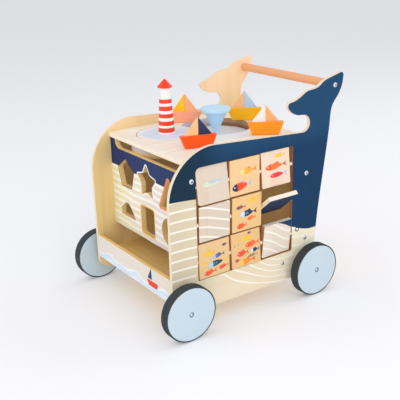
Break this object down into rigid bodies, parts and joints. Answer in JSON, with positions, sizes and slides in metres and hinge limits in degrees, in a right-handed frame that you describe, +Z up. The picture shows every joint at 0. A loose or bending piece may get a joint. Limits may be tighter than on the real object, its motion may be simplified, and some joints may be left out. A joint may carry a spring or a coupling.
{
  "type": "baby walker",
  "caption": "Wooden push-along baby walker on rubber-tyred wheels, with shape sorter, flip tiles, a gear game with lighthouse and boats, and a round push handle.",
  "frame": {"origin": "on the floor under the centre of the whole walker's bounding box", "axes": "+Z up; -Y forward, towards the shape sorter; +X to the child's left, the flip-tile side"},
  "size_m": [0.4224, 0.5228, 0.5085],
  "materials": {
    "panel_paint": "plywood with navy and natural satin varnish",
    "natural_ply": "clear satin varnish",
    "deck_ply": "pale printed plywood, satin",
    "sorter_paint": "printed plywood, navy above and pale stripes below",
    "front_print": "pale printed plywood, satin",
    "dowel": "clear satin varnish",
    "tile_print": "printed, satin",
    "lid_print": "pale blue print on plywood",
    "gear_wood": "pale painted plywood",
    "white_paint": "white and red satin paint",
    "red_paint": "red satin paint",
    "sky_paint": "light blue satin paint",
    "boat_red": "satin paint",
    "boat_orange": "satin paint",
    "boat_yellow": "satin paint",
    "boat_pink": "satin paint",
    "sail_paint": "one half painted, one half natural",
    "block_wood": "natural wood, printed faces",
    "block_blue": "light blue satin paint",
    "block_orange": "orange satin paint",
    "wheel_paint": "light blue satin paint",
    "tyre": "matt ribbed rubber",
    "steel": "satin zinc",
    "washer": "matt"
  },
  "bodies": {
    "chassis": {"panel_left": "panel_paint", "panel_right": "panel_paint", "top_board": "deck_ply", "well_ring": "natural_ply", "well_base": "natural_ply", "sorter_panel": "sorter_paint", "front_board": "front_print", "front_dowels": "dowel", "floor_board": "natural_ply", "back_panel": "natural_ply", "handle_bar": "dowel", "tile_rods": "dowel", "tile_rod_keepers": "natural_ply", "tile_spacers": "dowel", "gear_pins": "steel", "gear_washers": "washer", "boat_pivots": "steel", "body_screws": "steel", "axles": "steel", "axle_sleeves": "natural_ply", "axle_ends": "steel"},
    "wheel_front_left": {"wheel_front_left": "wheel_paint", "tyre_front_left": "tyre"},
    "wheel_front_right": {"wheel_front_right": "wheel_paint", "tyre_front_right": "tyre"},
    "wheel_rear_left": {"wheel_rear_left": "wheel_paint", "tyre_rear_left": "tyre"},
    "wheel_rear_right": {"wheel_rear_right": "wheel_paint", "tyre_rear_right": "tyre"},
    "tile_11": {"tile_11": "tile_print"},
    "tile_12": {"tile_12": "tile_print"},
    "tile_13": {"tile_13": "tile_print"},
    "tile_21": {"tile_21": "tile_print"},
    "tile_22": {"tile_22": "tile_print"},
    "tile_23": {"tile_23": "tile_print"},
    "tile_31": {"tile_31": "tile_print"},
    "tile_32": {"tile_32": "tile_print"},
    "tile_33": {"tile_33": "tile_print"},
    "lighthouse": {"gear_small": "natural_ply", "hub_block": "natural_ply", "lighthouse_lid": "lid_print", "lighthouse_tower": "white_paint", "lighthouse_roof": "red_paint"},
    "funnel": {"gear_large": "natural_ply", "gear_disc": "gear_wood", "funnel_knob": "sky_paint"},
    "boat_red": {"boat_red_hull": "boat_red", "boat_red_sail": "sail_paint"},
    "boat_orange": {"boat_orange_hull": "boat_orange", "boat_orange_sail": "sail_paint"},
    "boat_yellow": {"boat_yellow_hull": "boat_yellow", "boat_yellow_sail": "sail_paint"},
    "boat_pink": {"boat_pink_hull": "boat_pink", "boat_pink_sail": "sail_paint"},
    "block_pentagon": {"block_pentagon": "block_wood"},
    "block_star": {"block_star": "block_wood"},
    "block_triangle": {"block_triangle": "block_orange"},
    "block_wave": {"block_wave": "block_blue"},
    "block_rectangle": {"block_rectangle": "block_wood"},
    "block_disc": {"block_disc": "block_wood"}
  },
  "joints": [
    {"name": "wheel_front_left_spin", "type": "hinge", "parent": "chassis", "child": "wheel_front_left", "pos_m": [0.2, -0.19885, 0.0625], "axis": [1, 0, 0], "continuous": true},
    {"name": "wheel_front_right_spin", "type": "hinge", "parent": "chassis", "child": "wheel_front_right", "pos_m": [-0.2, -0.19885, 0.0625], "axis": [1, 0, 0], "continuous": true},
    {"name": "wheel_rear_left_spin", "type": "hinge", "parent": "chassis", "child": "wheel_rear_left", "pos_m": [0.2, 0.15595, 0.0625], "axis": [1, 0, 0], "continuous": true},
    {"name": "wheel_rear_right_spin", "type": "hinge", "parent": "chassis", "child": "wheel_rear_right", "pos_m": [-0.2, 0.15595, 0.0625], "axis": [1, 0, 0], "continuous": true},
    {"name": "tile_11_flip", "type": "hinge", "parent": "chassis", "child": "tile_11", "pos_m": [0.1655, -0.10845, 0.32033], "axis": [0, 1, 0], "continuous": true},
    {"name": "tile_12_flip", "type": "hinge", "parent": "chassis", "child": "tile_12", "pos_m": [0.1655, -0.02375, 0.32033], "axis": [0, 1, 0], "continuous": true},
    {"name": "tile_13_flip", "type": "hinge", "parent": "chassis", "child": "tile_13", "pos_m": [0.1655, 0.06245, 0.32033], "axis": [0, 1, 0], "continuous": true},
    {"name": "tile_21_flip", "type": "hinge", "parent": "chassis", "child": "tile_21", "pos_m": [0.1655, -0.10555, 0.2362], "axis": [0, 1, 0], "continuous": true},
    {"name": "tile_22_flip", "type": "hinge", "parent": "chassis", "child": "tile_22", "pos_m": [0.1655, -0.01895, 0.2362], "axis": [0, 1, 0], "continuous": true},
    {"name": "tile_23_flip", "type": "hinge", "parent": "chassis", "child": "tile_23", "pos_m": [0.1655, 0.06425, 0.2362], "axis": [0, 1, 0], "continuous": true},
    {"name": "tile_31_flip", "type": "hinge", "parent": "chassis", "child": "tile_31", "pos_m": [0.1655, -0.10865, 0.15207], "axis": [0, 1, 0], "continuous": true},
    {"name": "tile_32_flip", "type": "hinge", "parent": "chassis", "child": "tile_32", "pos_m": [0.1655, -0.02235, 0.15207], "axis": [0, 1, 0], "continuous": true},
    {"name": "tile_33_flip", "type": "hinge", "parent": "chassis", "child": "tile_33", "pos_m": [0.1655, 0.06745, 0.15207], "axis": [0, 1, 0], "continuous": true},
    {"name": "lighthouse_turn", "type": "hinge", "parent": "chassis", "child": "lighthouse", "pos_m": [-0.062, -0.07035, 0.353], "axis": [0, 0, 1], "continuous": true},
    {"name": "funnel_turn", "type": "hinge", "parent": "chassis", "child": "funnel", "pos_m": [-0.04, 0.05465, 0.353], "axis": [0, 0, 1], "continuous": true},
    {"name": "boat_red_turn", "type": "hinge", "parent": "chassis", "child": "boat_red", "pos_m": [0.085, -0.08335, 0.3772], "axis": [0, 0, 1], "continuous": true},
    {"name": "boat_orange_turn", "type": "hinge", "parent": "chassis", "child": "boat_orange", "pos_m": [0.096, 0.09465, 0.3772], "axis": [0, 0, 1], "continuous": true},
    {"name": "boat_yellow_turn", "type": "hinge", "parent": "chassis", "child": "boat_yellow", "pos_m": [-0.044, 0.14465, 0.3772], "axis": [0, 0, 1], "continuous": true},
    {"name": "boat_pink_turn", "type": "hinge", "parent": "chassis", "child": "boat_pink", "pos_m": [-0.121, 0.02115, 0.3772], "axis": [0, 0, 1], "continuous": true},
    {"name": "block_pentagon_lift", "type": "slide", "parent": "chassis", "child": "block_pentagon", "axis": [0, 0, 1], "range_m": [0, 0.06]},
    {"name": "block_star_lift", "type": "slide", "parent": "chassis", "child": "block_star", "axis": [0, 0, 1], "range_m": [0, 0.06]},
    {"name": "block_triangle_lift", "type": "slide", "parent": "chassis", "child": "block_triangle", "axis": [0, 0, 1], "range_m": [0, 0.06]},
    {"name": "block_wave_lift", "type": "slide", "parent": "chassis", "child": "block_wave", "axis": [0, 0, 1], "range_m": [0, 0.06]},
    {"name": "block_rectangle_lift", "type": "slide", "parent": "chassis", "child": "block_rectangle", "axis": [0, 0, 1], "range_m": [0, 0.06]},
    {"name": "block_disc_lift", "type": "slide", "parent": "chassis", "child": "block_disc", "axis": [0, 0, 1], "range_m": [0, 0.06]}
  ],
  "couplings": [
    {"joint": "funnel_turn", "follows": "lighthouse_turn", "ratio": -0.68421}
  ]
}
